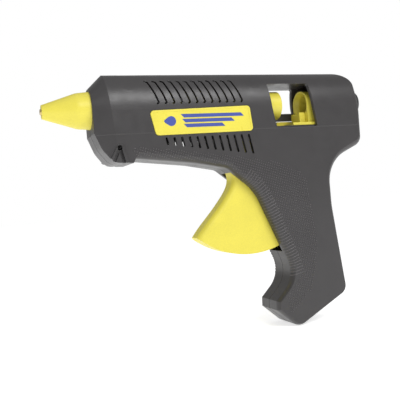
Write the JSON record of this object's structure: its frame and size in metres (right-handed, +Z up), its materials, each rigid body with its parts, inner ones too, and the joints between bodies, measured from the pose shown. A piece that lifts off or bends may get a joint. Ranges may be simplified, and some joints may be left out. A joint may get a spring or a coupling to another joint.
{
  "type": "glue gun",
  "caption": "Hot-melt glue gun with a pull trigger, a through window onto the stick feed, vented barrel and a silicone-booted nozzle.",
  "frame": {"origin": "mouth of the stick guide at the rear, on the stick's axis", "axes": "+X along the glue stick and out of the rear, -X out of the nozzle, +Y to the side whose shell holds the screw heads, +Z up, away from the handle"},
  "size_m": [0.1917, 0.0282, 0.1487],
  "materials": {
    "housing": "moulded, fine satin grain",
    "badge": "moulded, satin",
    "silicone": "matte silicone rubber",
    "yellow_nylon": "moulded, satin",
    "dark_nylon": "moulded",
    "terminal_plastic": "moulded",
    "bush_rubber": "moulded",
    "lead_cover": "braided glass-fibre and silicone cover",
    "steel": "zinc plated",
    "brass_metal": "turned",
    "cast_aluminium": "die cast",
    "film": "polyimide film",
    "ceramic_element": "fired ceramic",
    "phenolic": "phenolic laminate"
  },
  "bodies": {
    "housing": {"badge_left": "badge", "badge_right": "badge", "cord_bush": "bush_rubber", "cord_clamp": "dark_nylon", "cord_clamp_screws": "steel", "electrode_lower": "brass_metal", "electrode_upper": "brass_metal", "gripper_spring": "steel", "heater_film": "film", "heating_chamber": "cast_aluminium", "housing_left": "housing", "housing_right": "housing", "housing_screws": "steel", "inlet_sleeve": "silicone", "lead_live": "lead_cover", "lead_neutral": "lead_cover", "nozzle": "brass_metal", "nozzle_boot": "silicone", "pivot_pin": "steel", "ptc_element": "ceramic_element", "return_spring": "steel", "sleeve_clamp": "steel", "stick_guide": "dark_nylon", "support_ring_front": "phenolic", "support_ring_rear": "phenolic", "terminal_block": "terminal_plastic", "terminal_screws": "brass_metal", "valve_spring": "steel"},
    "trigger": {"trigger": "yellow_nylon"},
    "carriage": {"feed_carriage": "yellow_nylon", "feed_link": "steel", "drive_pin": "steel", "link_rivets": "steel", "spring_pin": "steel", "gripper_pin": "steel"},
    "gripper": {"gripper": "steel"},
    "valve_ball": {"valve_ball": "steel"}
  },
  "joints": [
    {"name": "trigger_pull", "type": "hinge", "parent": "housing", "child": "trigger", "pos_m": [-0.08, 0, -0.036], "axis": [0, -1, 0], "range_deg": [0, 26], "stiffness_Nm_per_rad": 0.35, "springref_deg": -11.46},
    {"name": "carriage_feed", "type": "slide", "parent": "housing", "child": "carriage", "axis": [-1, 0, 0], "range_m": [0, 0.00924], "deforming": ["return_spring"]},
    {"name": "gripper_bite", "type": "hinge", "parent": "carriage", "child": "gripper", "pos_m": [-0.0305, 0, -0.0102], "axis": [0, 1, 0], "range_deg": [0, 12], "stiffness_Nm_per_rad": 0.002, "springref_deg": -2.86, "deforming": ["gripper_spring"]},
    {"name": "valve_lift", "type": "slide", "parent": "housing", "child": "valve_ball", "axis": [-1, 0, 0], "range_m": [0, 0.0012], "stiffness_N_per_m": 60, "springref_m": -0.001, "deforming": ["valve_spring"]}
  ],
  "couplings": [
    {"joint": "carriage_feed", "follows": "trigger_pull", "m_per_rad": 0.02035}
  ]
}
